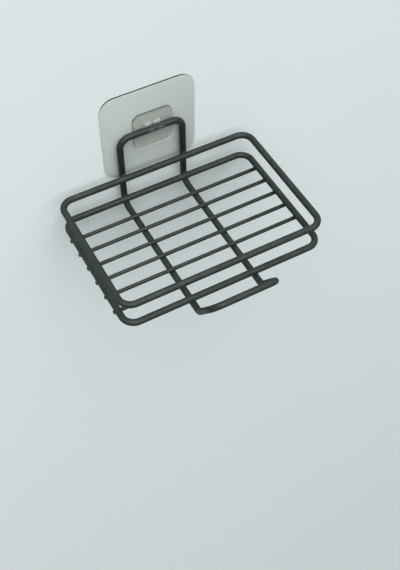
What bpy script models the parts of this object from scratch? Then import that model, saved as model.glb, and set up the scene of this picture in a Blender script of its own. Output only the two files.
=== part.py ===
"""Adhesive soap dish: a welded wire rack that hangs by its top bar on a clear patch.

Units are metres, +Z is up and the dish faces -Y. The origin is the centre of the
adhesive's back face, the face that lies on the wall.
"""

import math

import bmesh
import bpy
from mathutils import Vector

# Clearance where one piece rests on, or is bonded or welded to, another
SEAT_GAP = 0.0003

# Patch: the adhesive and the film that carries the hook plate
FILM_WIDTH = 0.0607
FILM_HEIGHT = 0.060
FILM_CORNER_RADIUS = 0.010
FILM_THICKNESS = 0.0007
FILM_EDGE_ROUND = 0.00015
ADHESIVE_THICKNESS = 0.0003
ADHESIVE_MARGIN = 0.0005

# Hook plate: a small clear plate with two claws and a window over each, a little off the
# film's middle
PLATE_WIDTH = 0.026
PLATE_HEIGHT = 0.026
PLATE_SIDE_SHIFT = 0.0021
PLATE_DROP = 0.0006
PLATE_CORNER_RADIUS = 0.005
PLATE_THICKNESS = 0.001
PLATE_EDGE_ROUND = 0.0003
CLAW_GAP = 0.0017
CLAW_WIDTH = 0.0042
CLAW_THICKNESS = 0.0011
CLAW_RISE_OVER_BAR = 0.0003
CLAW_TIP_ROUND = 0.0014
CLAW_EDGE_ROUND = 0.0002
WINDOW_SIDE_GAP = 0.00015
WINDOW_RISE_OVER_CLAW = 0.0007
WINDOW_CUT_OVERRUN = 0.001

# Wire sizes
WIRE_DIAMETER = 0.004
SLAT_DIAMETER = 0.0024

# Rings: two loops of wire, one over the other, measured over the wire. The lower one is
# a little narrower and lies level with the upper one at the right
UPPER_RING_WIDTH = 0.130
LOWER_RING_WIDTH = 0.1291
RING_DEPTH = 0.090
RING_SPACING = 0.017
RING_BEND_RADIUS = 0.0075

# Slats: thin wires from side to side under the lower ring, cut level with its sides
SLAT_COUNT = 6
SLAT_BACK_MARGIN = 0.0127
SLAT_FRONT_MARGIN = 0.0145
SLAT_END_ROUND = 0.0003

# Support wire: one closed loop that is hanger, rails and front hook
SUPPORT_WIDTH = 0.045
BAR_OVER_PLATE_MIDDLE = 0.0023
BAR_OVER_UPPER_RING = 0.0272
HANGER_BEND_RADIUS = 0.0068
HOOK_VALLEY_REACH = 0.0057
HOOK_REACH = 0.022
HOOK_RISE = 0.0226
HOOK_VALLEY_BEND_RADIUS = 0.005
HOOK_BEND_RADIUS = 0.0075

# The rack hangs this far to one side of the plate's middle
RACK_SIDE_SHIFT = -0.0025

# How finely round forms are cut
WIRE_BEVEL_RESOLUTION = 6
SLAT_SIDES = 12
BEND_STEP_DEGREES = 11.25
EDGE_ROUND_SEGMENTS = 2
SHARP_DEGREES = 40.0

# Colours, roughness and metallic values: red, green, blue, alpha
BLACK_COATING = (0.035, 0.037, 0.038, 1.0)
CLEAR_FILM = (0.50, 0.55, 0.54, 0.55)
CLEAR_PLATE = (0.36, 0.39, 0.36, 0.75)
MILKY_ADHESIVE = (0.62, 0.66, 0.65, 0.8)
COATING_ROUGHNESS = 0.45
FILM_ROUGHNESS = 0.25
PLATE_ROUGHNESS = 0.2
ADHESIVE_ROUGHNESS = 0.6

# Depths from the wall, worked out from the pieces stacked on it
wire_radius = WIRE_DIAMETER / 2
slat_radius = SLAT_DIAMETER / 2
weld_pitch = WIRE_DIAMETER + SEAT_GAP
slat_weld_pitch = wire_radius + SEAT_GAP + slat_radius
film_back_y = -(ADHESIVE_THICKNESS + SEAT_GAP)
plate_back_y = film_back_y - FILM_THICKNESS - SEAT_GAP
plate_front_y = plate_back_y - PLATE_THICKNESS
bar_y = plate_front_y - SEAT_GAP - wire_radius

# Places of the claws and windows, with the top bar cradled over the claws' shelves
claw_reach = (CLAW_GAP + CLAW_WIDTH) / 2
cradle_radius = wire_radius + SEAT_GAP
claw_root_y = (plate_front_y + plate_back_y) / 2
bar_z = BAR_OVER_PLATE_MIDDLE - PLATE_DROP
claw_shelf_z = bar_z - cradle_radius
claw_tip_z = bar_z + wire_radius + CLAW_RISE_OVER_BAR
window_top_z = claw_tip_z + WINDOW_RISE_OVER_CLAW
window_half_width = CLAW_WIDTH / 2 + WINDOW_SIDE_GAP

# Places of the rack's pieces, measured from the middle of its top bar
lower_ring_shift = (UPPER_RING_WIDTH - LOWER_RING_WIDTH) / 2
ring_back_y = -weld_pitch
ring_front_y = ring_back_y - (RING_DEPTH - WIRE_DIAMETER)
upper_ring_z = -BAR_OVER_UPPER_RING
lower_ring_z = upper_ring_z - RING_SPACING
slat_z = lower_ring_z - slat_weld_pitch
rail_z = slat_z - slat_weld_pitch
support_half_width = SUPPORT_WIDTH / 2 - wire_radius
hook_valley_y = ring_front_y - HOOK_VALLEY_REACH
hook_bar_y = ring_front_y - HOOK_REACH
hook_bar_z = rail_z + HOOK_RISE

# The bend from leg to rail is centred level with the lower ring, which it goes round
leg_bend_radius = lower_ring_z - rail_z


def clear_scene():
    """Remove every object of the scene."""
    for scene_object in list(bpy.data.objects):
        bpy.data.objects.remove(scene_object, do_unlink=True)


def make_material(name, colour, roughness, metallic=0.0):
    """A Principled material of one colour."""
    material = bpy.data.materials.new(name)
    material.use_nodes = True
    shader = material.node_tree.nodes["Principled BSDF"]
    shader.inputs["Base Color"].default_value = colour
    shader.inputs["Roughness"].default_value = roughness
    shader.inputs["Metallic"].default_value = metallic
    shader.inputs["Alpha"].default_value = colour[3]
    material.diffuse_color = colour
    return material


def link_object(name, data, material, parent=None, location=(0, 0, 0)):
    """Put a new object into the scene, at a place under its parent."""
    new_object = bpy.data.objects.new(name, data)
    bpy.context.scene.collection.objects.link(new_object)
    if material is not None:
        data.materials.append(material)
    new_object.parent = parent
    new_object.location = location
    return new_object


def mesh_from_bmesh(name, mesh_builder):
    """Turn a bmesh into a mesh whose faces point outwards."""
    bmesh.ops.recalc_face_normals(mesh_builder, faces=mesh_builder.faces)
    mesh = bpy.data.meshes.new(name)
    mesh_builder.to_mesh(mesh)
    mesh_builder.free()
    return mesh


def shade_round(mesh):
    """Smooth shading that keeps edges sharper than the limit."""
    mesh.shade_smooth()
    mesh.set_sharp_from_angle(angle=math.radians(SHARP_DEGREES))


def round_edges(target, width):
    """Round the rim of a flat piece."""
    bevel = target.modifiers.new("edge_round", "BEVEL")
    bevel.width = width
    bevel.segments = EDGE_ROUND_SEGMENTS
    bevel.limit_method = "ANGLE"
    bevel.angle_limit = math.radians(SHARP_DEGREES)


def arc_steps(turn):
    """How many chords a bend of this many radians is cut into."""
    return max(2, round(math.degrees(turn) / BEND_STEP_DEGREES))


def bent_loop(corners):
    """Points of a closed wire that turns each corner on an arc.

    corners is a list of (point, radius), in order round the loop.
    """
    points = []
    for index, (corner, radius) in enumerate(corners):
        arriving = (corner - corners[index - 1][0]).normalized()
        leaving = (corners[(index + 1) % len(corners)][0] - corner).normalized()
        turn = arriving.angle(leaving)
        reach = radius * math.tan(turn / 2)
        start = corner - arriving * reach
        inward = (leaving - arriving * arriving.dot(leaving)).normalized()
        steps = arc_steps(turn)
        for step in range(steps + 1):
            angle = turn * step / steps
            along = arriving * math.sin(angle)
            across = inward * (1 - math.cos(angle))
            points.append(start + (along + across) * radius)
    return points


def add_wire_loop(name, corners, material, parent, location):
    """A closed loop of round wire through rounded corners."""
    curve = bpy.data.curves.new(name, "CURVE")
    curve.dimensions = "3D"
    curve.bevel_depth = wire_radius
    curve.bevel_resolution = WIRE_BEVEL_RESOLUTION
    points = bent_loop(corners)
    spline = curve.splines.new("POLY")
    spline.points.add(len(points) - 1)
    for spline_point, point in zip(spline.points, points):
        spline_point.co = (*point, 1.0)
    spline.use_cyclic_u = True
    spline.use_smooth = True
    return link_object(name, curve, material, parent, location)


def rounded_rectangle(width, height, radius):
    """Outline points of a rounded rectangle in X and Z, centred on the origin."""
    points = []
    steps = arc_steps(math.pi / 2)
    for quarter, (side, end) in enumerate(((1, 1), (-1, 1), (-1, -1), (1, -1))):
        centre_x = side * (width / 2 - radius)
        centre_z = end * (height / 2 - radius)
        for step in range(steps + 1):
            angle = math.pi / 2 * (quarter + step / steps)
            x = centre_x + radius * math.cos(angle)
            z = centre_z + radius * math.sin(angle)
            points.append((x, z))
    return points


def add_sheet(name, outline, thickness, material, back_middle):
    """A flat sheet with the given outline, placed by the middle of its back face."""
    builder = bmesh.new()
    rim = [builder.verts.new((x, 0, z)) for x, z in outline]
    face = builder.faces.new(rim)
    extruded = bmesh.ops.extrude_face_region(builder, geom=[face])
    moved = [item for item in extruded["geom"] if isinstance(item, bmesh.types.BMVert)]
    bmesh.ops.translate(builder, verts=moved, vec=(0, -thickness, 0))
    mesh = mesh_from_bmesh(name, builder)
    shade_round(mesh)
    return link_object(name, mesh, material, location=back_middle)


def add_patch(film_material, adhesive_material):
    """The adhesive layer on the wall and the film over it."""
    adhesive_outline = rounded_rectangle(
        FILM_WIDTH - 2 * ADHESIVE_MARGIN,
        FILM_HEIGHT - 2 * ADHESIVE_MARGIN,
        FILM_CORNER_RADIUS - ADHESIVE_MARGIN,
    )
    add_sheet(
        "adhesive_layer", adhesive_outline, ADHESIVE_THICKNESS, adhesive_material, (0, 0, 0)
    )
    film_outline = rounded_rectangle(FILM_WIDTH, FILM_HEIGHT, FILM_CORNER_RADIUS)
    film_place = (0, film_back_y, 0)
    film = add_sheet("wall_film", film_outline, FILM_THICKNESS, film_material, film_place)
    round_edges(film, FILM_EDGE_ROUND)


def claw_path():
    """Inner side of a claw in Y and Z: a shelf, a quarter turn and an upright tongue."""
    path = [Vector((claw_root_y, claw_shelf_z))]
    steps = arc_steps(math.pi / 2)
    for step in range(steps + 1):
        angle = math.pi / 2 * step / steps
        y = bar_y - cradle_radius * math.sin(angle)
        z = bar_z - cradle_radius * math.cos(angle)
        path.append(Vector((y, z)))
    for step in range(steps + 1):
        rise = math.sin(math.pi / 2 * step / steps)
        path.append(Vector((bar_y - cradle_radius, claw_tip_z - CLAW_TIP_ROUND * (1 - rise))))
    return path


def claw_half_width(z):
    """Half the tongue's width at a height: full below, rounded off at the tip."""
    into_tip = max(0.0, z - (claw_tip_z - CLAW_TIP_ROUND))
    lost = CLAW_TIP_ROUND - math.sqrt(max(0.0, CLAW_TIP_ROUND**2 - into_tip**2))
    return CLAW_WIDTH / 2 - lost


def add_claw(name, centre_x):
    """One claw as a closed strip along the claw's path, for joining to the plate."""
    path = claw_path()
    builder = bmesh.new()
    sections = []
    for index, point in enumerate(path):
        before = path[max(index - 1, 0)]
        after = path[min(index + 1, len(path) - 1)]
        along = (after - before).normalized()
        outer = point + Vector((-along.y, along.x)) * CLAW_THICKNESS
        left = centre_x - claw_half_width(point.y)
        right = centre_x + claw_half_width(point.y)
        corners = [(left, *point), (right, *point), (right, *outer), (left, *outer)]
        sections.append([builder.verts.new(corner) for corner in corners])
    for first, second in zip(sections, sections[1:]):
        for index in range(len(first)):
            builder.faces.new((first[index - 1], first[index], second[index], second[index - 1]))
    builder.faces.new(sections[0])
    builder.faces.new(sections[-1])
    claw = link_object(name, mesh_from_bmesh(name, builder), None)
    round_edges(claw, CLAW_EDGE_ROUND)
    return hide_helper(claw)


def add_window(name, centre_x):
    """The block that cuts the window over one claw."""
    low = (centre_x - window_half_width, plate_front_y - WINDOW_CUT_OVERRUN, claw_shelf_z)
    high = (centre_x + window_half_width, plate_back_y + WINDOW_CUT_OVERRUN, window_top_z)
    builder = bmesh.new()
    bmesh.ops.create_cube(builder, size=1)
    for vertex in builder.verts:
        for axis in range(len(low)):
            middle = (low[axis] + high[axis]) / 2
            vertex.co[axis] = middle + vertex.co[axis] * (high[axis] - low[axis])
    window = link_object(name, mesh_from_bmesh(name, builder), None)
    return hide_helper(window)


def hide_helper(helper):
    """Keep a cutter or a joined shape out of the render."""
    helper.hide_render = True
    helper.display_type = "WIRE"
    return helper


def add_boolean(target, helper, operation):
    """Cut or join a helper to its target."""
    boolean = target.modifiers.new(helper.name, "BOOLEAN")
    boolean.operation = operation
    boolean.object = helper


def add_hook_plate(material):
    """The hook plate, with a window cut over each claw and the claws joined on."""
    outline = rounded_rectangle(PLATE_WIDTH, PLATE_HEIGHT, PLATE_CORNER_RADIUS)
    plate_place = (PLATE_SIDE_SHIFT, plate_back_y, -PLATE_DROP)
    plate = add_sheet("hook_plate", outline, PLATE_THICKNESS, material, plate_place)
    round_edges(plate, PLATE_EDGE_ROUND)
    for side, label in ((-1, "left"), (1, "right")):
        claw_x = PLATE_SIDE_SHIFT + side * claw_reach
        add_boolean(plate, add_window("window_" + label, claw_x), "DIFFERENCE")
        add_boolean(plate, add_claw("claw_" + label, claw_x), "UNION")


def add_ring(name, width, material, rack, back_middle):
    """One of the two rings, placed by the middle of its back bar."""
    half_width = width / 2 - wire_radius
    depth = ring_front_y - ring_back_y
    corners = [
        (Vector((half_width, 0, 0)), RING_BEND_RADIUS),
        (Vector((half_width, depth, 0)), RING_BEND_RADIUS),
        (Vector((-half_width, depth, 0)), RING_BEND_RADIUS),
        (Vector((-half_width, 0, 0)), RING_BEND_RADIUS),
    ]
    add_wire_loop(name, corners, material, rack, back_middle)


def add_support_wire(material, rack):
    """The closed wire that is hanger at the back, rails below and hook in front."""
    side = support_half_width
    one_side = [
        (Vector((side, 0, 0)), HANGER_BEND_RADIUS),
        (Vector((side, 0, rail_z)), leg_bend_radius),
        (Vector((side, hook_valley_y, rail_z)), HOOK_VALLEY_BEND_RADIUS),
        (Vector((side, hook_bar_y, hook_bar_z)), HOOK_BEND_RADIUS),
    ]
    other_side = [
        (Vector((-point.x, point.y, point.z)), radius) for point, radius in reversed(one_side)
    ]
    add_wire_loop("support_wire", one_side + other_side, material, rack, (0, 0, 0))


def add_slats(material, rack):
    """The thin wires under the lower ring, evenly spaced from back to front."""
    first_y = ring_back_y - SLAT_BACK_MARGIN
    last_y = ring_front_y + SLAT_FRONT_MARGIN
    for index in range(SLAT_COUNT):
        name = f"slat_{index + 1}"
        builder = bmesh.new()
        bmesh.ops.create_cone(
            builder,
            cap_ends=True,
            segments=SLAT_SIDES,
            radius1=slat_radius,
            radius2=slat_radius,
            depth=LOWER_RING_WIDTH,
        )
        mesh = mesh_from_bmesh(name, builder)
        shade_round(mesh)
        y = first_y + (last_y - first_y) * index / (SLAT_COUNT - 1)
        slat = link_object(name, mesh, material, rack, (lower_ring_shift, y, slat_z))
        slat.rotation_euler = (0, math.pi / 2, 0)
        round_edges(slat, SLAT_END_ROUND)


def main():
    """Build the patch on the wall and the rack that hangs on it."""
    clear_scene()
    coating = make_material("black_coating", BLACK_COATING, COATING_ROUGHNESS)
    film = make_material("clear_film", CLEAR_FILM, FILM_ROUGHNESS)
    plate = make_material("clear_plate", CLEAR_PLATE, PLATE_ROUGHNESS)
    adhesive = make_material("milky_adhesive", MILKY_ADHESIVE, ADHESIVE_ROUGHNESS)
    add_patch(film, adhesive)
    add_hook_plate(plate)
    rack_place = (PLATE_SIDE_SHIFT + RACK_SIDE_SHIFT, bar_y, bar_z)
    rack = link_object("rack", None, None, location=rack_place)
    upper_place = (0, ring_back_y, upper_ring_z)
    lower_place = (lower_ring_shift, ring_back_y, lower_ring_z)
    add_ring("upper_ring", UPPER_RING_WIDTH, coating, rack, upper_place)
    add_ring("lower_ring", LOWER_RING_WIDTH, coating, rack, lower_place)
    add_support_wire(coating, rack)
    add_slats(coating, rack)


main()
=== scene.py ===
"""Looks of an adhesive soap dish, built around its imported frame.

A welded wire rack hangs by its top bar on a small clear plate with two claws, which a clear
film holds to the wall. Lengths are metres, +Z is up and the dish faces -Y.
"""

from __future__ import annotations

import logging
import math
from collections.abc import Callable, Iterable, Mapping
from dataclasses import dataclass
from enum import Enum

import bmesh
import bpy
from bpy.types import Material, MeshPolygon, Node, NodeOutputs, NodeSocket, NodeTree, Object
from mathutils import Matrix, Vector

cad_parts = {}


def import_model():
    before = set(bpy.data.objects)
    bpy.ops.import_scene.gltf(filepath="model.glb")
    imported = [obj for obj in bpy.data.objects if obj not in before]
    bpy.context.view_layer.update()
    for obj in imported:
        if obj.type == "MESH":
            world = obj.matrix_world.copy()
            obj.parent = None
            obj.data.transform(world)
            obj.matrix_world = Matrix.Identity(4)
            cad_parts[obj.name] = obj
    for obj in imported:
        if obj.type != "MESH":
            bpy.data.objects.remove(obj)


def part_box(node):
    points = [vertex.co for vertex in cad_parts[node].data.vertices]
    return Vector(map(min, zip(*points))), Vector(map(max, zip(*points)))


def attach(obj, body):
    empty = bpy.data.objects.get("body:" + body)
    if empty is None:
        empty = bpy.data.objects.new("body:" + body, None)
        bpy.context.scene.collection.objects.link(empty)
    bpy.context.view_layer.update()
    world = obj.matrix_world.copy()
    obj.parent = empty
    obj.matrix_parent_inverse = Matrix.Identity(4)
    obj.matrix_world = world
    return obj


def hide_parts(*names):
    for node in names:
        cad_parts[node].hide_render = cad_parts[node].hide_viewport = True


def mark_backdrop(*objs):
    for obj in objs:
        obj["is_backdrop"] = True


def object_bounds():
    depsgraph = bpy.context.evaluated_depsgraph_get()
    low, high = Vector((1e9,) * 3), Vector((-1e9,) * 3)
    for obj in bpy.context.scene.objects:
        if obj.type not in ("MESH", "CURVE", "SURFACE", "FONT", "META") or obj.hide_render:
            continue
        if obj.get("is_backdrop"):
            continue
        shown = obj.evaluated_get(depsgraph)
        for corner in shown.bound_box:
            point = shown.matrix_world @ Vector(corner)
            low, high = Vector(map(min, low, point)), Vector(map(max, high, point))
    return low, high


LOG = logging.getLogger("soap_dish")

# Nodes of the slats, from back to front
SLATS = [f"slat_{number}" for number in range(1, 7)]

# How finely the pieces are cut
BEND_STEP = math.radians(6)
WIRE_SIDES = 32
SLAT_SIDES = 24
CORNER_STEPS = 16
RIM_STEPS = 3

# Tolerances of the meshes
MERGE_DISTANCE = 1e-6
SMOOTH_LIMIT = math.radians(35)
TOUCH_GAP = 0.00002

# Shares of a face's direction that tell the parts of a clear piece's rim apart, for the painted
# shade on its top and left and the painted glint under it
RIM_EDGE = 0.98
RIM_UP = 0.25
RIM_LEFT = -0.5
RIM_DOWN = -0.25

# Directions and turns
ACROSS = Vector((1, 0, 0))
TO_WALL = Vector((0, 1, 0))
QUARTER_TURN = math.radians(90)

# Places of a Mix node's inputs and output for colours
MIX_SHARE, MIX_FIRST, MIX_SECOND, MIX_RESULT = 0, 6, 7, 2

Corner = tuple[Vector, float]
Colour = tuple[float, float, float, float]
Span = tuple[float, float]
Inputs = Mapping[str | int, object]
EdgeTest = Callable[[Vector, Vector], bool]
FaceTest = Callable[[MeshPolygon], bool]


class Slot(Enum):
    """Names of the dish's material slots; the pieces here don't use them."""

    COATING = "black_coating"
    FILM = "clear_film"
    PLATE = "clear_plate"
    ADHESIVE = "adhesive"


class Body(Enum):
    """Bodies of the frame that the pieces ride on."""

    PATCH = "patch"
    RACK = "rack"


class Join(Enum):
    """Ways in which one solid changes another."""

    CUT = "DIFFERENCE"
    FUSE = "UNION"


class Pairing(Enum):
    """Ways of making one value of two."""

    LARGER = "MAXIMUM"
    PRODUCT = "MULTIPLY"


@dataclass(frozen=True)
class Box:
    """A box along the frame's axes, from its lowest to its highest corner."""

    low: Vector
    high: Vector

    @classmethod
    def of_node(cls, node: str) -> Box:
        """Read the box of one of the frame's nodes."""
        return cls(*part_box(node))

    @property
    def middle(self) -> Vector:
        """Middle of the box."""
        return (self.low + self.high) / 2

    @property
    def size(self) -> Vector:
        """Length of the box along each axis."""
        return self.high - self.low


def linear(red: int, green: int, blue: int) -> Colour:
    """Turn a colour in display steps from 0 to 255 into linear light from 0 to 1."""
    steps = (channel / 255 for channel in (red, green, blue))
    return (*(s / 12.92 if s <= 0.04045 else ((s + 0.055) / 1.055) ** 2.4 for s in steps), 1.0)


def deselect_all() -> None:
    """Leave no object selected."""
    bpy.ops.object.select_all(action="DESELECT")


def make_active(piece: Object) -> None:
    """Select one object alone and make it the active one.

    Args:
        piece: The object that the next operators act on.
    """
    deselect_all()
    piece.select_set(True)
    bpy.context.view_layer.objects.active = piece


def set_in_place(piece: Object) -> None:
    """Move an object's place, turn and scale into its mesh."""
    make_active(piece)
    bpy.ops.object.transform_apply(location=True, rotation=True, scale=True)


def start_piece(
    add: Callable[..., set[str]], name: str, scale: Vector | None = None, **settings: object
) -> Object:
    """Add a primitive alone, with its place, turn and scale in its mesh.

    Args:
        add: The operator that adds the primitive.
        name: The piece's name.
        scale: The piece's size along each of its own axes, if the primitive is 1 long.
        settings: What the operator is given.

    Returns:
        The piece to shape.
    """
    deselect_all()
    add(**settings)
    piece = bpy.context.object
    piece.name = name
    if scale:
        piece.scale = scale
    set_in_place(piece)
    return piece


def edit(piece: Object, whole: bool = False) -> None:
    """Open an object's mesh for editing.

    Args:
        piece: The object to edit.
        whole: Whether all of the mesh starts selected, or nothing.
    """
    make_active(piece)
    bpy.ops.object.mode_set(mode="EDIT")
    bpy.ops.mesh.select_all(action="SELECT" if whole else "DESELECT")


def end_edit() -> None:
    """Go back to object mode."""
    bpy.ops.object.mode_set(mode="OBJECT")


def extrude(step: Vector) -> None:
    """Draw out what is selected of the mesh being edited."""
    bpy.ops.mesh.extrude_region_move(TRANSFORM_OT_translate={"value": step})


def bevel_edges(piece: Object, wanted: EdgeTest, width: float, steps: int) -> None:
    """Round the edges of the mesh being edited whose two ends pass a test.

    Args:
        piece: The object in edit mode.
        wanted: Says of an edge's two ends whether the edge is rounded.
        width: How far the rounding reaches from the edge.
        steps: Faces across the rounding.
    """
    bpy.ops.mesh.select_mode(type="EDGE")
    mesh = bmesh.from_edit_mesh(piece.data)
    for edge in mesh.edges:
        first, second = (vertex.co for vertex in edge.verts)
        edge.select_set(wanted(first, second))
    mesh.select_flush_mode()
    bmesh.update_edit_mesh(piece.data)
    bpy.ops.mesh.bevel(offset=width, segments=steps)


def tidy_mesh(piece: Object) -> None:
    """Merge doubled points, turn the faces outwards and shade round forms smooth.

    Args:
        piece: The object to finish.
    """
    edit(piece, whole=True)
    bpy.ops.mesh.remove_doubles(threshold=MERGE_DISTANCE)
    bpy.ops.mesh.normals_make_consistent(inside=False)
    end_edit()
    bpy.ops.object.shade_smooth_by_angle(angle=SMOOTH_LIMIT)


def apply_boolean(piece: Object, tool: Object, way: Join) -> None:
    """Cut a tool from a piece, or fuse it on, and delete the tool.

    Args:
        piece: The object that is kept.
        tool: The object that cuts or is added.
        way: What the tool does.
    """
    make_active(piece)
    boolean = piece.modifiers.new("join", "BOOLEAN")
    boolean.operation = way.value
    boolean.object = tool
    bpy.ops.object.modifier_apply(modifier=boolean.name)
    bpy.data.objects.remove(tool)


def copy_piece(piece: Object, name: str, step: Vector) -> Object:
    """Copy a piece, with a mesh of its own, to another place.

    Args:
        piece: The undressed piece, with its place in its mesh.
        name: The copy's name.
        step: How far from the piece the copy stands.

    Returns:
        The copy.
    """
    make_active(piece)
    bpy.ops.object.duplicate()
    copy = bpy.context.object
    copy.name = name
    copy.location = step
    set_in_place(copy)
    return copy


def add_piece(
    piece: Object, finish: Material, body: Body, replaced: Iterable[str] = ()
) -> None:
    """Dress a finished piece and make it ride on its body.

    Args:
        piece: The finished mesh.
        finish: Its material.
        body: The body that it moves with.
        replaced: The frame's nodes that it stands for.
    """
    piece.data.materials.append(finish)
    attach(piece, body.value)
    if replaced:
        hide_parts(*replaced)
    LOG.info("%s: %d faces on %s", piece.name, len(piece.data.polygons), body.value)


def paint(piece: Object, finish: Material, wanted: FaceTest) -> None:
    """Give some faces of a dressed piece another finish.

    Args:
        piece: The dressed piece.
        finish: The material of the wanted faces.
        wanted: Says whether a face gets it.
    """
    piece.data.materials.append(finish)
    index = len(piece.data.materials) - 1
    for face in piece.data.polygons:
        if wanted(face):
            face.material_index = index


def bend_loop(name: str, radius: float, corners: list[Corner]) -> Object:
    """Bend a closed loop of round wire: straight runs are extruded and bends are spun.

    Args:
        name: The piece's name.
        radius: The wire's radius.
        corners: Each corner's point and bend radius, in order.

    Returns:
        The finished loop.
    """
    points = [point for point, _ in corners]
    start = (points[-1] + points[0]) / 2
    ahead = points[0] - start
    wire = start_piece(
        bpy.ops.mesh.primitive_circle_add,
        name,
        vertices=WIRE_SIDES,
        radius=radius,
        location=start,
        rotation=ahead.to_track_quat("Z", "Y").to_euler(),
    )
    edit(wire, whole=True)
    tip, heading = start, ahead.normalized()
    for index, (point, bend_radius) in enumerate(corners):
        leaving = (points[(index + 1) % len(points)] - point).normalized()
        turn = heading.angle(leaving)
        bend = point - heading * (bend_radius * math.tan(turn / 2))
        extrude(bend - tip)
        axis = heading.cross(leaving).normalized()
        centre = bend + axis.cross(heading) * bend_radius
        steps = math.ceil(turn / BEND_STEP)
        bpy.ops.mesh.spin(steps=steps, angle=-turn, center=centre, axis=axis)
        tip = centre + Matrix.Rotation(turn, 3, axis) @ (bend - centre)
        heading = leaving
    extrude(start - tip)
    end_edit()
    tidy_mesh(wire)
    return wire


def rounded_block(name: str, box: Box, corner_radius: float, steps: int) -> Object:
    """Model a block with round corners, as seen from the front, and leave it in edit mode.

    Args:
        name: The piece's name.
        box: Its box.
        corner_radius: Radius of the four corners.
        steps: Faces round each corner.

    Returns:
        The block.
    """
    add = bpy.ops.mesh.primitive_cube_add
    block = start_piece(add, name, box.size, size=1, location=box.middle)
    edit(block)
    bevel_edges(block, lambda a, b: abs((a - b).y) > MERGE_DISTANCE, corner_radius, steps)
    return block


def rounded_sheet(name: str, box: Box, corner_radius: float, rim_round: float) -> Object:
    """Model a flat upright sheet with round corners and a softened rim.

    Args:
        name: The piece's name.
        box: Its box.
        corner_radius: Radius of the four corners, seen from the front.
        rim_round: Radius of the rim's edges.

    Returns:
        The finished sheet.
    """
    sheet = rounded_block(name, box, corner_radius, CORNER_STEPS)
    bevel_edges(sheet, lambda a, b: abs((a - b).y) < MERGE_DISTANCE, rim_round, RIM_STEPS)
    end_edit()
    tidy_mesh(sheet)
    return sheet


def on_dark_rim(face: MeshPolygon) -> bool:
    """Say whether a face is on a rim's top or left side, where shade is painted in as clear
    plastic's dark edge.
    """
    turn = face.normal
    return abs(turn.y) < RIM_EDGE and (turn.z > RIM_UP or turn.x < RIM_LEFT)


def looks_down(face: MeshPolygon) -> bool:
    """Say whether a face is on a rim's underside, where a glint is painted."""
    return abs(face.normal.y) < RIM_EDGE and face.normal.z < RIM_DOWN


@dataclass(frozen=True)
class Layout:
    """Places of the pieces, all read from the frame."""

    film: Box
    adhesive: Box
    plate: Box
    upper_ring: Box
    lower_ring: Box
    support: Box

    @classmethod
    def from_frame(cls) -> Layout:
        """Read the boxes of the frame's nodes.

        Returns:
            The places of all the pieces.
        """
        return cls(
            film=Box.of_node("wall_film"),
            adhesive=Box.of_node("adhesive_layer"),
            plate=Box.of_node("hook_plate"),
            upper_ring=Box.of_node("upper_ring"),
            lower_ring=Box.of_node("lower_ring"),
            support=Box.of_node("support_wire"),
        )

    @property
    def wire_radius(self) -> float:
        """Radius of the rings' and the support's wire."""
        return self.upper_ring.size.z / 2

    @property
    def bar_y(self) -> float:
        """Depth of the middle of the top bar and the hanger's legs."""
        return self.support.high.y - self.wire_radius

    @property
    def bar_z(self) -> float:
        """Height of the middle of the top bar."""
        return self.support.high.z - self.wire_radius

    @property
    def rail_z(self) -> float:
        """Height of the middle of the rails."""
        return self.support.low.z + self.wire_radius

    @property
    def legs_x(self) -> tuple[float, float]:
        """Middles of the left and right leg, and of the rails, from side to side."""
        return self.support.low.x + self.wire_radius, self.support.high.x - self.wire_radius


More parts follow.
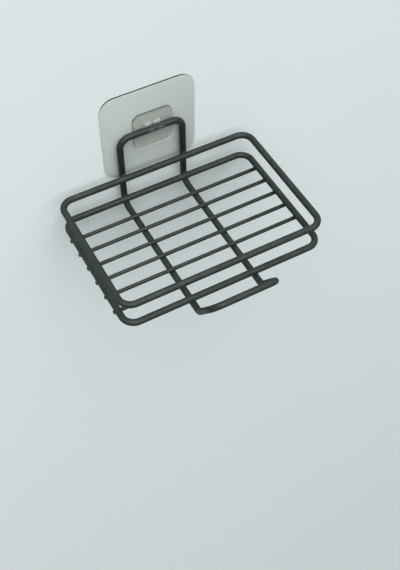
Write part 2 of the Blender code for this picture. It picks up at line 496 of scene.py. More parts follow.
@dataclass(frozen=True)
class NodeTools:
    """Short ways of placing nodes in one node tree."""

    tree: NodeTree

    def add(self, kind: str, inputs: Inputs | None = None, **settings: object) -> Node:
        """Add a node.

        Args:
            kind: Blender's name of the node type.
            inputs: What its inputs get, as feed takes it.
            settings: Properties of the node, by name.

        Returns:
            The node.
        """
        node = self.tree.nodes.new(kind)
        for setting, value in settings.items():
            setattr(node, setting, value)
        self.feed(node, inputs or {})
        return node

    def feed(self, node: Node, inputs: Inputs) -> None:
        """Give a node's inputs their values or links.

        Args:
            node: The node.
            inputs: For each input, by name or number, a value or another node's output.
        """
        for key, value in inputs.items():
            if isinstance(value, NodeSocket):
                self.tree.links.new(value, node.inputs[key])
            else:
                node.inputs[key].default_value = value

    def coordinates(self, kind: str = "Object") -> NodeSocket:
        """Give a place or direction in the object's own frame."""
        return self.add("ShaderNodeTexCoord").outputs[kind]

    def upward(self) -> NodeSocket:
        """Give how far a surface faces up, from -1 to 1."""
        return self.add("ShaderNodeSeparateXYZ", {0: self.coordinates("Normal")}).outputs["Z"]

    def noise(self, scale: float | NodeSocket, detail: float = 2.0) -> NodeSocket:
        """Give noise, about 0.5 on average, of some waves per metre and octaves of detail."""
        inputs = {"Vector": self.coordinates(), "Scale": scale, "Detail": detail}
        return self.add("ShaderNodeTexNoise", inputs).outputs["Fac"]

    def ramp(self, value: NodeSocket, source: Span, result: Span = (0.0, 1.0)) -> NodeSocket:
        """Map a range of values onto another, with the ends held."""
        inputs = dict(enumerate((value, *source, *result)))
        return self.add("ShaderNodeMapRange", inputs).outputs["Result"]

    def combine(self, way: Pairing, first: NodeSocket, second: NodeSocket) -> NodeSocket:
        """Make one value of two."""
        return self.add("ShaderNodeMath", {0: first, 1: second}, operation=way.value).outputs[0]

    def mix(
        self, share: NodeSocket, first: Colour | NodeSocket, second: Colour | NodeSocket
    ) -> NodeSocket:
        """Mix two colours, where the share is how much of the second one shows."""
        inputs = {MIX_SHARE: share, MIX_FIRST: first, MIX_SECOND: second}
        return self.add("ShaderNodeMix", inputs, data_type="RGBA").outputs[MIX_RESULT]

    def show_mixed(
        self, share: NodeSocket, first: Node, second: Node, leave: str = "Material Output"
    ) -> None:
        """Show a mix of two shaders.

        Args:
            share: How much of the second shader shows.
            first: The shader at 0.
            second: The shader at 1.
            leave: The tree's output node.
        """
        inputs = {0: share, 1: first.outputs[0], 2: second.outputs[0]}
        mixed = self.add("ShaderNodeMixShader", inputs).outputs["Shader"]
        self.feed(self.tree.nodes[leave], {"Surface": mixed})

    def seen_directly(self) -> NodeSocket:
        """Tell the rays that show a surface or the sky from those that only light others.

        Returns:
            1 for camera, glossy and transmission rays, else 0.
        """
        rays = self.add("ShaderNodeLightPath").outputs
        seen = self.combine(Pairing.LARGER, rays["Is Camera Ray"], rays["Is Glossy Ray"])
        return self.combine(Pairing.LARGER, seen, rays["Is Transmission Ray"])

    def place_group(self, group: NodeTree, **values: float) -> NodeOutputs:
        """Place a shared effect with its own values, and give its outputs."""
        return self.add("ShaderNodeGroup", values, node_tree=group).outputs


def new_material(name: str) -> tuple[Material, NodeTools, Node]:
    """Start a node material.

    Args:
        name: The material's name.

    Returns:
        The material, its node tools and its Principled shader.
    """
    material = bpy.data.materials.new(name)
    material.use_nodes = True
    tools = NodeTools(material.node_tree)
    return material, tools, material.node_tree.nodes["Principled BSDF"]


def pass_light(tools: NodeTools, shader: Node, colour: Colour) -> None:
    """Let the lamps' light through, as clear plastic does, instead of a full shadow.

    Args:
        tools: The material's node tools.
        shader: Its Principled shader.
        colour: Tint of the light that each face lets through.
    """
    clear = tools.add("ShaderNodeBsdfTransparent", {"Color": colour})
    shadow = tools.add("ShaderNodeLightPath").outputs["Is Shadow Ray"]
    tools.show_mixed(shadow, shader, clear)


class SharedEffects:
    """Surface effects that several finishes use, each built once as a node group."""

    GRAIN_DETAIL = 3
    DUST_DETAIL = 4
    DUST_PATCHES = (0.35, 0.7)
    DUST_DEPTH = (0.4, 1.0)

    def __init__(self) -> None:
        """Build the groups."""
        self.grain = self._build_grain()
        self.dust = self._build_dust()

    @staticmethod
    def _new_group(
        name: str, inputs: Iterable[str], outputs: Iterable[str]
    ) -> tuple[NodeTools, NodeOutputs, Node]:
        """Start a group with its sockets, which are numbers unless they are a normal.

        Args:
            name: The group's name.
            inputs: Names of its inputs.
            outputs: Names of its outputs.

        Returns:
            Tools for the group's nodes, what comes into it, and the node that it leaves by.
        """
        tree = bpy.data.node_groups.new(name, "ShaderNodeTree")
        for way, sockets in (("INPUT", inputs), ("OUTPUT", outputs)):
            for socket in sockets:
                kind = "NodeSocketVector" if socket == "Normal" else "NodeSocketFloat"
                tree.interface.new_socket(name=socket, in_out=way, socket_type=kind)
        tools = NodeTools(tree)
        return tools, tools.add("NodeGroupInput").outputs, tools.add("NodeGroupOutput")

    def _build_grain(self) -> NodeTree:
        """Make the fine unevenness of a moulded, rolled or coated surface.

        Returns:
            The group, which gives a normal and a mask.
        """
        tools, given, leave = self._new_group(
            "surface_grain", ("Scale", "Depth"), ("Normal", "Mask")
        )
        noise = tools.noise(given["Scale"], self.GRAIN_DETAIL)
        bump = tools.add("ShaderNodeBump", {"Distance": given["Depth"], "Height": noise})
        tools.feed(leave, {"Normal": bump.outputs["Normal"], "Mask": noise})
        return tools.tree

    def _build_dust(self) -> NodeTree:
        """Make the film that settles on what faces up.

        Returns:
            The group, which gives a mask.
        """
        tools, given, leave = self._new_group("settled_film", ("Scale", "Amount"), ("Mask",))
        noise = tools.noise(given["Scale"], self.DUST_DETAIL)
        patches = tools.ramp(noise, self.DUST_PATCHES, self.DUST_DEPTH)
        faces_up = tools.ramp(tools.upward(), (0.0, 1.0))
        lying = tools.combine(Pairing.PRODUCT, patches, faces_up)
        tools.feed(leave, {"Mask": tools.combine(Pairing.PRODUCT, lying, given["Amount"])})
        return tools.tree


@dataclass(frozen=True)
class PowderCoat:
    """Matt black powder coating on wire, softly uneven, paler where it faces up."""

    colour: Colour = linear(19, 23, 24)
    worn_colour: Colour = linear(26, 30, 31)
    dust_colour: Colour = linear(120, 126, 126)
    roughness: Span = (0.42, 0.54)
    gloss: float = 0.26
    peel_scale: float = 1300
    peel_depth: float = 0.00005
    peel_range: Span = (0.3, 0.7)
    dust_scale: float = 160
    dust_amount: float = 0.1

    def material(self, effects: SharedEffects) -> Material:
        """Make the coating.

        Args:
            effects: The shared surface effects.

        Returns:
            The material.
        """
        material, tools, shader = new_material("powder_coat")
        grain = tools.place_group(effects.grain, Scale=self.peel_scale, Depth=self.peel_depth)
        dust = tools.place_group(effects.dust, Scale=self.dust_scale, Amount=self.dust_amount)
        tone = tools.ramp(grain["Mask"], self.peel_range)
        coat = tools.mix(tone, self.colour, self.worn_colour)
        inputs = {
            "Base Color": tools.mix(dust["Mask"], coat, self.dust_colour),
            "Roughness": tools.ramp(grain["Mask"], self.peel_range, self.roughness),
            "Normal": grain["Normal"],
            "Specular IOR Level": self.gloss,
        }
        tools.feed(shader, inputs)
        return material


@dataclass(frozen=True)
class ClearPlastic:
    """Tinted clear plastic sheet or moulding, faintly uneven, with a glossy skin."""

    name: str
    colour: Colour
    haze_colour: Colour
    roughness: float = 0.03
    transmission: float = 1.0
    refraction: float = 1.01
    skin: float = 0.0
    skin_roughness: float = 0.14
    shadow_colour: Colour | None = None
    grain_scale: float = 300
    grain_depth: float = 0.00004
    cloud_scale: float = 45
    cloud_range: Span = (0.35, 0.65)

    def material(self, effects: SharedEffects) -> Material:
        """Make the plastic.

        Args:
            effects: The shared surface effects.

        Returns:
            The material.
        """
        material, tools, shader = new_material(self.name)
        grain = tools.place_group(effects.grain, Scale=self.grain_scale, Depth=self.grain_depth)
        haze = tools.ramp(tools.noise(self.cloud_scale), self.cloud_range)
        inputs = {
            "Base Color": tools.mix(haze, self.colour, self.haze_colour),
            "Normal": grain["Normal"],
            "Roughness": self.roughness,
            "Transmission Weight": self.transmission,
            "IOR": self.refraction,
            "Coat Weight": self.skin,
            "Coat Roughness": self.skin_roughness,
        }
        tools.feed(shader, inputs)
        if self.shadow_colour:
            pass_light(tools, shader, self.shadow_colour)
        return material


@dataclass(frozen=True)
class PaintedRimLightAndShade:
    """Light or shade painted on the edge of clear plastic, of one colour or with another where it
    doesn't look up.
    """

    name: str
    colour: Colour
    side_colour: Colour | None = None
    shadow_colour: Colour = linear(236, 238, 237)
    roughness: float = 0.6
    gloss: float = 0.1
    grain_scale: float = 900
    grain_depth: float = 0.00002
    upward_range: Span = (0.1, 0.6)

    def material(self, effects: SharedEffects) -> Material:
        """Make the edge's painted light or shade.

        Args:
            effects: The shared surface effects.

        Returns:
            The material.
        """
        material, tools, shader = new_material(self.name)
        grain = tools.place_group(effects.grain, Scale=self.grain_scale, Depth=self.grain_depth)
        # Where a side colour is given, the painted shade goes from it to the colour as the rim
        # turns to look up
        colour = self.colour
        if self.side_colour:
            share = tools.ramp(tools.upward(), self.upward_range)
            colour = tools.mix(share, self.side_colour, colour)
        inputs = {
            "Base Color": colour,
            "Normal": grain["Normal"],
            "Roughness": self.roughness,
            "Specular IOR Level": self.gloss,
        }
        tools.feed(shader, inputs)
        pass_light(tools, shader, self.shadow_colour)
        return material


@dataclass(frozen=True)
class MilkyAdhesive:
    """Milky adhesive layer with faint clouds and fine trapped bubbles."""

    colour: Colour = linear(222, 228, 226)
    cloud_colour: Colour = linear(212, 219, 218)
    bubble_colour: Colour = linear(232, 236, 235)
    roughness: float = 0.55
    cloud_scale: float = 60
    cloud_range: Span = (0.35, 0.65)
    bubble_scale: float = 900
    bubble_rim: Span = (0.1, 0.22)
    grain_scale: float = 700
    grain_depth: float = 0.00003

    def material(self, effects: SharedEffects) -> Material:
        """Make the adhesive.

        Args:
            effects: The shared surface effects.

        Returns:
            The material.
        """
        material, tools, shader = new_material("milky_adhesive")
        grain = tools.place_group(effects.grain, Scale=self.grain_scale, Depth=self.grain_depth)
        clouds = tools.ramp(tools.noise(self.cloud_scale), self.cloud_range)
        cells = tools.add(
            "ShaderNodeTexVoronoi", {"Vector": tools.coordinates(), "Scale": self.bubble_scale}
        )
        bubbles = tools.ramp(cells.outputs["Distance"], self.bubble_rim, (1.0, 0.0))
        milky = tools.mix(clouds, self.colour, self.cloud_colour)
        inputs = {
            "Base Color": tools.mix(bubbles, milky, self.bubble_colour),
            "Normal": grain["Normal"],
            "Roughness": self.roughness,
        }
        tools.feed(shader, inputs)
        return material


@dataclass(frozen=True)
class Finishes:
    """The materials of all the pieces."""

    coating: Material
    film: Material
    # Painted shade on the top and left rims of the film and adhesive
    film_rim_shade: Material
    plate: Material
    # Painted shade on the plate's top and left rims
    plate_rim_shade: Material
    # Painted glint on the front strip of the plate's lower rim
    plate_glint: Material
    # Painted glint on the windows' undersides
    window_glint: Material
    claw: Material
    adhesive: Material

    @classmethod
    def make(cls) -> Finishes:
        """Build the shared effects and the materials.

        Returns:
            The finishes.
        """
        looks = {
            "coating": PowderCoat(),
            "film": ClearPlastic(
                name="clear_film",
                colour=linear(216, 223, 219),
                haze_colour=linear(213, 221, 217),
                roughness=0.28,
                transmission=0.25,
                refraction=1.47,
            ),
            # Painted shade: the film's rims are dark where they look up and paler on the left
            "film_rim_shade": PaintedRimLightAndShade("film_rim_shade", linear(14, 18, 18), linear(152, 159, 157)),
            "plate": ClearPlastic(
                name="clear_plate",
                colour=linear(202, 201, 199),
                haze_colour=linear(199, 198, 196),
                skin=0.5,
                shadow_colour=linear(235, 236, 234),
            ),
            # Painted shade: the plate's rims are dark where they look up and paler on the left
            "plate_rim_shade": PaintedRimLightAndShade("plate_rim_shade", linear(84, 92, 90), linear(114, 121, 119)),
            # Painted glints: bright undersides of the plate's rim and of its windows
            "plate_glint": PaintedRimLightAndShade("plate_glint", linear(228, 233, 231)),
            "window_glint": PaintedRimLightAndShade("window_glint", linear(176, 182, 180)),
            "claw": ClearPlastic(
                name="clear_claw",
                colour=linear(251, 252, 251),
                haze_colour=linear(249, 251, 250),
                skin=0.8,
                shadow_colour=linear(250, 251, 250),
            ),
            "adhesive": MilkyAdhesive(),
        }
        effects = SharedEffects()
        return cls(**{part: look.material(effects) for part, look in looks.items()})


@dataclass(frozen=True)
class Assembly:
    """What each sub-assembly is placed by and dressed in."""

    layout: Layout
    finishes: Finishes


@dataclass(frozen=True)
class WallPatch(Assembly):
    """The adhesive layer on the wall and the clear film over it."""

    film_corner_radius: float = 0.010
    film_rim_round: float = 0.00028
    adhesive_rim_round: float = 0.00006

    def build(self) -> None:
        """Model and dress both sheets."""
        where, finishes = self.layout, self.finishes
        radius = self.film_corner_radius
        margin = where.film.high.x - where.adhesive.high.x
        low = where.adhesive.low.copy()
        low.y = where.film.high.y + TOUCH_GAP
        box = Box(low, where.adhesive.high)
        adhesive = rounded_sheet("adhesive_sheet", box, radius - margin, self.adhesive_rim_round)
        add_piece(adhesive, finishes.adhesive, Body.PATCH, ["adhesive_layer"])
        film = rounded_sheet("film_sheet", where.film, radius, self.film_rim_round)
        add_piece(film, finishes.film, Body.PATCH, ["wall_film"])
        # Painted shade on both sheets' top and left rims
        for sheet in (adhesive, film):
            paint(sheet, finishes.film_rim_shade, on_dark_rim)


@dataclass(frozen=True)
class HookPlate(Assembly):
    """The small clear plate with its two claws and the window over each."""

    thickness: float = 0.001
    corner_radius: float = 0.005
    rim_round: float = 0.00025
    claw_gap: float = 0.0017
    claw_width: float = 0.0042
    claw_thickness: float = 0.0011
    claw_tip_round: float = 0.0014
    claw_edge_round: float = 0.0003
    seat_gap: float = 0.0003
    rest_gap: float = 0.00004
    tip_rise: float = 0.0003
    window_side_gap: float = 0.00015
    window_rise: float = -0.0002
    window_corner_radius: float = 0.0008
    window_rim_round: float = 0.00015
    edge_steps: int = 3
    tip_steps: int = 6
    edge_margin: float = 0.0003
    # How deep from the front the painted glint on the lower rim reaches
    glint_depth: float = 0.0007

    @property
    def front_y(self) -> float:
        """Depth of the plate's front face."""
        return self.layout.plate.high.y - self.thickness

    @property
    def glint_back_y(self) -> float:
        """Depth to which the painted glint reaches on the lower rim."""
        return self.front_y + self.glint_depth

    @property
    def shelf_z(self) -> float:
        """Height of the claws' shelves, on which the top bar lies."""
        return self.layout.bar_z - self.layout.wire_radius - self.rest_gap

    @property
    def tip_z(self) -> float:
        """Height of the claws' tips."""
        return self.layout.bar_z + self.layout.wire_radius + self.tip_rise

    @property
    def window_top_z(self) -> float:
        """Height of the windows' tops."""
        return self.tip_z + self.window_rise

    @property
    def bottom_z(self) -> float:
        """Height of the claws' undersides."""
        outside = self.layout.wire_radius + self.seat_gap + self.claw_thickness
        return self.layout.bar_z - outside

    @property
    def claw_spacing(self) -> float:
        """From the middle of one claw to the middle of the other."""
        return self.claw_gap + self.claw_width

    @property
    def left_claw_x(self) -> float:
        """Middle of the left claw from side to side."""
        return self.layout.plate.middle.x - self.claw_spacing / 2

    @property
    def claws_reach(self) -> float:
        """From the plate's middle to the outer side of a claw."""
        return self.claw_gap / 2 + self.claw_width

    def _on_both_claws(self, plate: Object, left: Object, way: Join) -> None:
        """Apply a tool that stands at the left claw, and its copy at the right one.

        Args:
            plate: The plate.
            left: The tool at the left claw.
            way: What the tool does.
        """
        right = copy_piece(left, f"{left.name}_right", Vector((self.claw_spacing, 0, 0)))
        for tool in (right, left):
            apply_boolean(plate, tool, way)

    def _window_tool(self) -> Object:
        """Model the block that cuts the window over the left claw.

        Returns:
            The block.
        """
        half = self.claw_width / 2 + self.window_side_gap
        left, right = self.left_claw_x - half, self.left_claw_x + half
        front, back = self.front_y - self.thickness, self.layout.plate.high.y + self.thickness
        box = Box(Vector((left, front, self.shelf_z)), Vector((right, back, self.window_top_z)))
        tool = rounded_block("window_tool", box, self.window_corner_radius, self.tip_steps)
        end_edit()
        return tool

    def _claw(self) -> Object:
        """Model the left claw: a shelf, a bend up round the bar and a round-tipped tongue.

        Returns:
            The claw.
        """
        where = self.layout
        depth = self.shelf_z - self.bottom_z
        root_y = self.front_y + self.thickness / 2
        claw = start_piece(
            bpy.ops.mesh.primitive_plane_add,
            "claw",
            Vector((self.claw_width, depth, 1)),
            size=1,
            location=(self.left_claw_x, root_y, self.bottom_z + depth / 2),
            rotation=(QUARTER_TURN, 0, 0),
        )
        edit(claw, whole=True)
        extrude(Vector((0, where.bar_y - root_y, 0)))
        bpy.ops.mesh.spin(
            steps=math.ceil(QUARTER_TURN / BEND_STEP),
            angle=QUARTER_TURN,
            center=(self.left_claw_x, where.bar_y, where.bar_z),
            axis=ACROSS,
        )
        extrude(Vector((0, 0, self.tip_z - where.bar_z)))
        end_edit()
        tidy_mesh(claw)
        edit(claw)
        tip = self.tip_z - MERGE_DISTANCE
        bevel_edges(
            claw,
            lambda a, b: min(a.z, b.z) > tip and abs((a - b).y) > MERGE_DISTANCE,
            self.claw_tip_round,
            self.tip_steps,
        )
        bpy.ops.mesh.select_all(action="DESELECT")
        bpy.ops.mesh.edges_select_sharp(sharpness=SMOOTH_LIMIT)
        bpy.ops.mesh.bevel(offset=self.claw_edge_round, segments=self.edge_steps)
        end_edit()
        return claw

    def _soften_windows(self, plate: Object) -> None:
        """Round the windows' front edges.

        Args:
            plate: The plate with its windows cut.
        """
        middle = self.layout.plate.middle.x
        reach = self.claws_reach + self.window_side_gap + MERGE_DISTANCE
        front = self.front_y + MERGE_DISTANCE
        bottom, top = self.shelf_z - MERGE_DISTANCE, self.window_top_z + MERGE_DISTANCE

        def on_rim(end: Vector) -> bool:
            """Say whether an edge's end lies on a window's front rim."""
            return end.y < front and abs(end.x - middle) < reach and bottom < end.z < top

        rounding = self.window_rim_round, self.edge_steps
        edit(plate)
        bevel_edges(plate, lambda a, b: on_rim(a) and on_rim(b), *rounding)
        end_edit()

    def _paint_rims(self, plate: Object) -> None:
        """Dress the rims of the plate and its windows with painted shade and glints, and the claws.

        Args:
            plate: The dressed plate.
        """
        finishes = self.finishes
        claw_front = self.front_y - self.edge_margin
        reach = self.claws_reach + self.edge_margin
        low, high = self.bottom_z - self.edge_margin, self.window_top_z + self.edge_margin

        def on_claw(face: MeshPolygon) -> bool:
            """Say whether a face stands out before the plate."""
            return face.center.y < claw_front

        def off_windows(face: MeshPolygon) -> bool:
            """Say whether a face is neither on a claw nor in a window."""
            beside = abs(face.center.x - self.layout.plate.middle.x) > reach
            return not on_claw(face) and (beside or not low < face.center.z < high)

        def on_glint(face: MeshPolygon) -> bool:
            """Say whether a face looks down from the front of the plate's rim, where a glint is
            painted.
            """
            return looks_down(face) and face.center.y < self.glint_back_y and off_windows(face)

        # Painted shade on the plate's top and left rims, away from the windows
        paint(plate, finishes.plate_rim_shade, lambda face: on_dark_rim(face) and off_windows(face))
        # Painted glint on the front of the plate's lower rim
        paint(plate, finishes.plate_glint, on_glint)
        # Painted glint on the windows' undersides
        paint(plate, finishes.window_glint, lambda face: looks_down(face) and not off_windows(face))
        paint(plate, finishes.claw, on_claw)

    def build(self) -> None:
        """Model and dress the plate."""
        low, high = self.layout.plate.low.copy(), self.layout.plate.high.copy()
        low.y, high.y = self.front_y, self.layout.film.low.y - TOUCH_GAP
        plate = rounded_sheet("clawed_plate", Box(low, high), self.corner_radius, self.rim_round)
        self._on_both_claws(plate, self._window_tool(), Join.CUT)
        self._soften_windows(plate)
        self._on_both_claws(plate, self._claw(), Join.FUSE)
        # Split the rim at the painted glint's back edge, so that only its front strip glints
        edit(plate, whole=True)
        bpy.ops.mesh.bisect(plane_co=(0, self.glint_back_y, 0), plane_no=TO_WALL)
        end_edit()
        tidy_mesh(plate)
        add_piece(plate, self.finishes.plate, Body.PATCH, ["hook_plate"])
        self._paint_rims(plate)


@dataclass(frozen=True)
class Basket(Assembly):
    """The two rings of wire and the slats under the lower one."""

    bend_radius: float = 0.0075
    slat_end_round: float = 0.0004
    slat_end_steps: int = 3

    def _ring(self, name: str, box: Box) -> Object:
        """Bend one ring.

        Args:
            name: The piece's name.
            box: Its box.

        Returns:
            The ring.
        """
        inset = self.layout.wire_radius
        left, right = box.low.x + inset, box.high.x - inset
        front, back = box.low.y + inset, box.high.y - inset
        places = ((right, back), (right, front), (left, front), (left, back))
        corners = [(Vector((x, y, box.middle.z)), self.bend_radius) for x, y in places]
        return bend_loop(name, inset, corners)

    def _slats(self) -> list[Object]:
        """Model one slat with softly rounded ends and copy it to the others' places.

        Returns:
            The slats, from back to front.
        """
        first, *others = SLATS
        box = Box.of_node(first)
        slat = start_piece(
            bpy.ops.mesh.primitive_cylinder_add,
            f"{first}_wire",
            vertices=SLAT_SIDES,
            radius=box.size.z / 2,
            depth=box.size.x,
            location=box.middle,
            rotation=(0, QUARTER_TURN, 0),
        )
        rounding = self.slat_end_round, self.slat_end_steps
        edit(slat)
        bevel_edges(slat, lambda a, b: abs((a - b).x) < MERGE_DISTANCE, *rounding)
        end_edit()
        tidy_mesh(slat)
        steps = [(node, Box.of_node(node).low - box.low) for node in others]
        return [slat, *(copy_piece(slat, f"{node}_wire", step) for node, step in steps)]

    def build(self) -> None:
        """Model and dress the rings and slats."""
        pieces = {
            "upper_ring": self._ring("upper_ring_wire", self.layout.upper_ring),
            "lower_ring": self._ring("lower_ring_wire", self.layout.lower_ring),
            **dict(zip(SLATS, self._slats())),
        }
        for node, piece in pieces.items():
            add_piece(piece, self.finishes.coating, Body.RACK, [node])


@dataclass(frozen=True)
class SupportWire(Assembly):
    """The closed wire that is hanger behind, rails below and hook in front."""

    hanger_bend: float = 0.0068
    hook_valley_reach: float = 0.0057
    hook_rise: float = 0.0226
    hook_valley_bend: float = 0.005
    hook_bend: float = 0.0075

    def build(self) -> None:
        """Bend and dress the wire."""
        where = self.layout
        valley_y = where.upper_ring.low.y + where.wire_radius - self.hook_valley_reach
        hook_y = where.support.low.y + where.wire_radius
        leg_bend = where.lower_ring.middle.z - where.rail_z
        side_view = (
            (where.bar_y, where.bar_z, self.hanger_bend),
            (where.bar_y, where.rail_z, leg_bend),
            (valley_y, where.rail_z, self.hook_valley_bend),
            (hook_y, where.rail_z + self.hook_rise, self.hook_bend),
        )
        left, right = where.legs_x
        corners = [(Vector((right, y, z)), bend) for y, z, bend in side_view]
        corners += [(Vector((left, y, z)), bend) for y, z, bend in reversed(side_view)]
        wire = bend_loop("hanger_and_hook_wire", where.wire_radius, corners)
        add_piece(wire, self.finishes.coating, Body.RACK, ["support_wire"])


@dataclass(frozen=True)
class Welds(Assembly):
    """The small beads of coated weld where the wires cross."""

    ring_bead: Vector = Vector((0.0018, 0.001, 0.0018))
    slat_bead: Vector = Vector((0.0016, 0.0012, 0.0009))
    bead_segments: int = 20
    bead_rings: int = 12

    def _beads(self, name: str, half_size: Vector, places: list[Vector]) -> Object:
        """Model one bead, copy it to each place and join them.

        Args:
            name: The joined piece's name.
            half_size: Half a bead's size along each axis.
            places: The beads' middles.

        Returns:
            The beads as one piece.
        """
        bead = start_piece(
            bpy.ops.mesh.primitive_uv_sphere_add,
            name,
            half_size,
            segments=self.bead_segments,
            ring_count=self.bead_rings,
            radius=1,
            location=places[0],
        )
        copies = [copy_piece(bead, f"{name}_copy", place - places[0]) for place in places[1:]]
        make_active(bead)
        for copy in copies:
            copy.select_set(True)
        bpy.ops.object.join()
        tidy_mesh(bead)
        return bead

    def _ring_places(self) -> list[Vector]:
        """Find where the rings meet the hanger's legs.

        Returns:
            The beads' middles.
        """
        where = self.layout
        back_y = where.upper_ring.high.y - where.wire_radius
        middle_y = (where.bar_y + back_y) / 2
        heights = (where.upper_ring.middle.z, where.lower_ring.middle.z)
        return [Vector((x, middle_y, z)) for x in where.legs_x for z in heights]

    def _slat_places(self) -> list[Vector]:
        """Find where the slats meet the lower ring's sides and the rails.

        Returns:
            The beads' middles.
        """
        where = self.layout
        ring = where.lower_ring
        sides_x = (ring.low.x + where.wire_radius, ring.high.x - where.wire_radius)
        places = []
        for slat in map(Box.of_node, SLATS):
            under_ring = (ring.middle.z - where.wire_radius + slat.high.z) / 2
            over_rail = (where.rail_z + where.wire_radius + slat.low.z) / 2
            places += [Vector((x, slat.middle.y, under_ring)) for x in sides_x]
            places += [Vector((x, slat.middle.y, over_rail)) for x in where.legs_x]
        return places

    def build(self) -> None:
        """Model and dress the beads."""
        kinds = (
            ("ring_weld_beads", self.ring_bead, self._ring_places()),
            ("slat_weld_beads", self.slat_bead, self._slat_places()),
        )
        for kind in kinds:
            add_piece(self._beads(*kind), self.finishes.coating, Body.RACK)


@dataclass(frozen=True)
class Backdrop:
    """A plain pale wall and floor, which show nothing from behind."""

    layout: Layout
    wall_colour: Colour = linear(230, 239, 239)
    floor_colour: Colour = linear(196, 202, 202)
    floor_bounce: Colour = linear(120, 124, 124)
    roughness: float = 0.8
    gloss: float = 0.2
    half_size: float = 3.0
    floor_drop: float = 1.4
    hole_margin: float = 0.0001
    hole_corner: float = 0.0099
    hole_steps: int = 8

    def _material(self, name: str, colour: Colour, bounce: Colour | None = None) -> Material:
        """Make a pale finish that is clear from behind.

        Args:
            name: The material's name.
            colour: Its colour where it is seen.
            bounce: Its colour in the light that it throws on the dish, where it differs.

        Returns:
            The material.
        """
        material, tools, shader = new_material(name)
        shown = tools.mix(tools.seen_directly(), bounce, colour) if bounce else colour
        inputs = {
            "Base Color": shown,
            "Roughness": self.roughness,
            "Specular IOR Level": self.gloss,
        }
        tools.feed(shader, inputs)
        behind = tools.add("ShaderNodeNewGeometry").outputs["Backfacing"]
        tools.show_mixed(behind, shader, tools.add("ShaderNodeBsdfTransparent"))
        return material

    def _wall(self) -> Object:
        """Model the wall, open where the adhesive covers it so that its back is lit.

        Returns:
            The wall.
        """
        film = self.layout.film
        wall_y = self.layout.adhesive.high.y + TOUCH_GAP
        middle = Vector((film.middle.x, wall_y, film.middle.z))
        margin = 2 * self.hole_margin
        wall = start_piece(
            bpy.ops.mesh.primitive_plane_add,
            "backdrop_wall",
            Vector((film.size.x - margin, film.size.z - margin, 1)),
            size=1,
            location=middle,
            rotation=(QUARTER_TURN, 0, 0),
        )
        edit(wall, whole=True)
        bpy.ops.mesh.bevel(offset=self.hole_corner, segments=self.hole_steps, affect="VERTICES")
        bpy.ops.mesh.select_all(action="SELECT")
        bpy.ops.mesh.delete(type="ONLY_FACE")
        bpy.ops.mesh.select_all(action="SELECT")
        bpy.ops.mesh.extrude_edges_move()
        grow = self.half_size / film.size.x
        bpy.ops.transform.resize(value=(grow, 1, grow), center_override=middle)
        end_edit()
        if wall.data.polygons[0].normal.y > 0:
            wall.data.flip_normals()
        return wall

    def build(self) -> None:
        """Set up the wall and the floor."""
        wall = self._wall()
        wall.data.materials.append(self._material("wall_paint", self.wall_colour))
        floor = start_piece(
            bpy.ops.mesh.primitive_plane_add,
            "backdrop_floor",
            size=2 * self.half_size,
            location=(0, -self.half_size, -self.floor_drop),
        )
        floor_paint = self._material("floor_paint", self.floor_colour, self.floor_bounce)
        floor.data.materials.append(floor_paint)
        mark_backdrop(wall, floor)
        LOG.info("backdrop: wall and floor")


def install(
    name: str, device: bpy.types.ID, direction: Vector, place: Vector | None = None
) -> Object:
    """Put a camera or a light into the scene.

    Args:
        name: Its name.
        device: The camera or light.
        direction: Where it points.
        place: Where it stands, if that matters.

    Returns:
        Its object.
    """
    holder = bpy.data.objects.new(name, device)
    if place:
        holder.location = place
    holder.rotation_euler = direction.to_track_quat("-Z", "Y").to_euler()
    bpy.context.scene.collection.objects.link(holder)
    return holder


@dataclass(frozen=True)
class Lamp:
    """One soft square lamp."""

    name: str
    place: Vector
    size: float
    power: float

    def build(self, target: Vector) -> None:
        """Hang the lamp and aim it.

        Args:
            target: What it is aimed at.
        """
        light = bpy.data.lights.new(self.name, "AREA")
        light.shape = "SQUARE"
        light.size = self.size
        light.energy = self.power
        install(self.name, light, target - self.place, self.place)


@dataclass(frozen=True)
class DistantLight:
    """Broad even light from far away, like that of a bright ceiling."""

    name: str
    direction: Vector
    spread: float
    strength: float

    def build(self) -> None:
        """Add the light and turn it."""
        light = bpy.data.lights.new(self.name, "SUN")
        light.angle = self.spread
        light.energy = self.strength
        install(self.name, light, -self.direction)


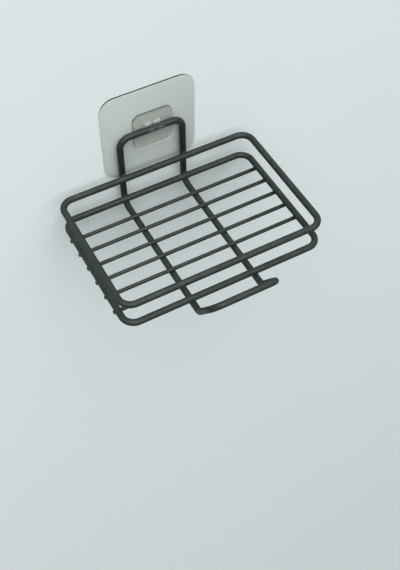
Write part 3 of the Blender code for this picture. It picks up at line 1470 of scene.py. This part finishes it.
@dataclass(frozen=True)
class Studio:
    """The photograph's viewpoint and the soft light on the dish."""

    place: Vector = Vector((-0.1660, -0.3672, 0.3691))
    azimuth: float = math.radians(28.66)
    elevation: float = math.radians(52.87)
    lens: float = 57.97
    sensor: float = 36.0
    shift_y: float = 0.0132
    world_colour: Colour = linear(222, 230, 232)
    world_strength: float = 0.12
    background_colour: Colour = linear(222, 228, 228)
    daylight: DistantLight = DistantLight(
        name="bright_ceiling",
        direction=Vector((-0.06, -0.58, 0.80)),
        spread=math.radians(80),
        strength=2.36,
    )
    lamps: tuple[Lamp, ...] = (
        Lamp("ceiling_light", place=Vector((-0.35, -0.75, 1.8)), size=1.4, power=32.0),
        Lamp("room_light", place=Vector((0.4, -1.9, 0.4)), size=1.6, power=1.5),
        Lamp("back_light", place=Vector((-0.5, 1.6, 1.0)), size=1.6, power=45.0),
    )

    def _add_camera(self) -> None:
        """Place the camera where the photograph was taken from."""
        camera = bpy.data.cameras.new("photo_view")
        camera.lens = self.lens
        camera.sensor_width = self.sensor
        camera.shift_y = self.shift_y
        across, down = math.cos(self.elevation), math.sin(self.elevation)
        right, back = math.sin(self.azimuth) * across, math.cos(self.azimuth) * across
        ahead = Vector((right, back, -down))
        bpy.context.scene.camera = install("photo_view", camera, ahead, self.place)

    def _add_world(self) -> None:
        """Light the dish evenly from all round, with a pale background for the camera."""
        world = bpy.data.worlds.new("soft_sky")
        bpy.context.scene.world = world
        world.use_nodes = True
        tools = NodeTools(world.node_tree)
        lit = world.node_tree.nodes["Background"]
        tools.feed(lit, {"Color": self.world_colour, "Strength": self.world_strength})
        seen = tools.add("ShaderNodeBackground", {"Color": self.background_colour})
        tools.show_mixed(tools.seen_directly(), lit, seen, "World Output")

    def build(self, target: Vector) -> None:
        """Set up camera, world and lamps.

        Args:
            target: What the lamps are aimed at.
        """
        self._add_camera()
        self._add_world()
        self.daylight.build()
        for lamp in self.lamps:
            lamp.build(target)
        bpy.context.scene.view_settings.view_transform = "Standard"


def main() -> None:
    """Build the soap dish's looks and report each piece."""
    logging.basicConfig(level=logging.INFO, format="%(message)s")
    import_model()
    frame_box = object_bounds()
    layout = Layout.from_frame()
    finishes = Finishes.make()
    for assembly in (WallPatch, HookPlate, Basket, SupportWire, Welds):
        assembly(layout, finishes).build()
    Backdrop(layout).build()
    Studio().build(target=(frame_box[0] + frame_box[1]) / 2)


if __name__ == "__main__":
    main()
